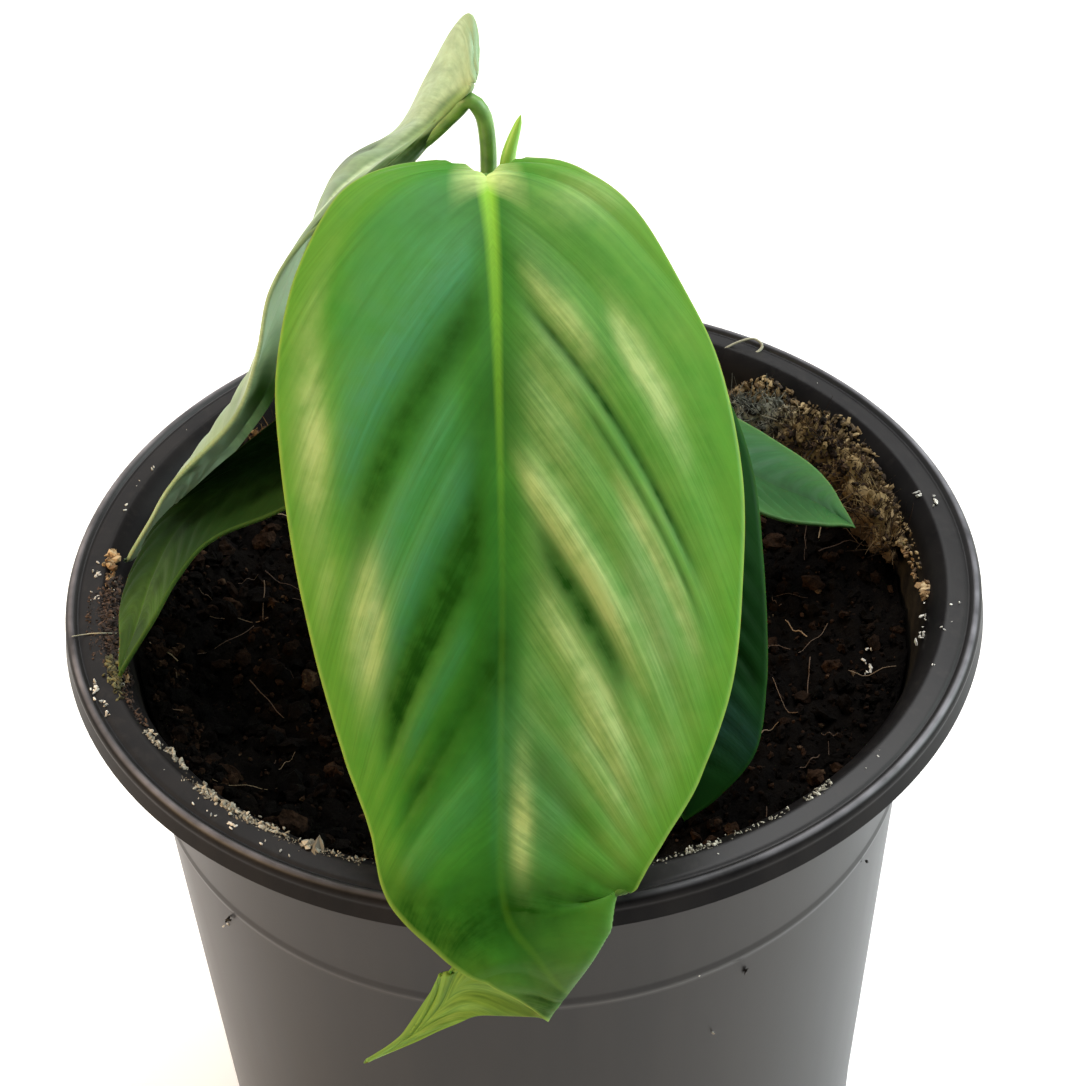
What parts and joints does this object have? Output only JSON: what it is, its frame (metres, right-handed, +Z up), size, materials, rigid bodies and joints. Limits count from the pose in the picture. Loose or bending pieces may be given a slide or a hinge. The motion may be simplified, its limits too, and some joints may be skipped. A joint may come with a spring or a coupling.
{
  "type": "potted philodendron",
  "caption": "Young philodendron with one large heart-shaped leaf hanging over the rim of a round dark nursery pot of potting mix, with smaller leaves behind it.",
  "frame": {"origin": "middle of the pot's standing face", "axes": "+Z up along the pot's axis; the large leaf hangs over the rim towards -Y, and +X is to the right seen from there"},
  "size_m": [0.1312, 0.1397, 0.1917],
  "materials": {
    "pot_plastic": "satin, near-black moulded plastic",
    "potting_mix": "crumbly dark peat and bark, matt",
    "stem_green": "smooth green stem",
    "leaf_green": "smooth living leaf, soft gloss",
    "leaf_grey_green": "leaf seen at a grazing angle, soft gloss",
    "leaf_dark_green": "leaf in shade, soft gloss",
    "young_green": "yellow-green young leaf",
    "dry_moss": "dry fibrous moss, matt"
  },
  "bodies": {
    "root": {"pot": "pot_plastic", "potting_mix": "potting_mix", "stem": "stem_green", "leaf_front": "leaf_green", "leaf_rear_left": "leaf_grey_green", "leaf_low_left": "leaf_green", "leaf_right": "leaf_green", "leaf_behind": "leaf_dark_green", "new_leaf": "young_green", "dry_moss_mound": "dry_moss", "dry_moss_tuft": "dry_moss"}
  },
  "joints": []
}
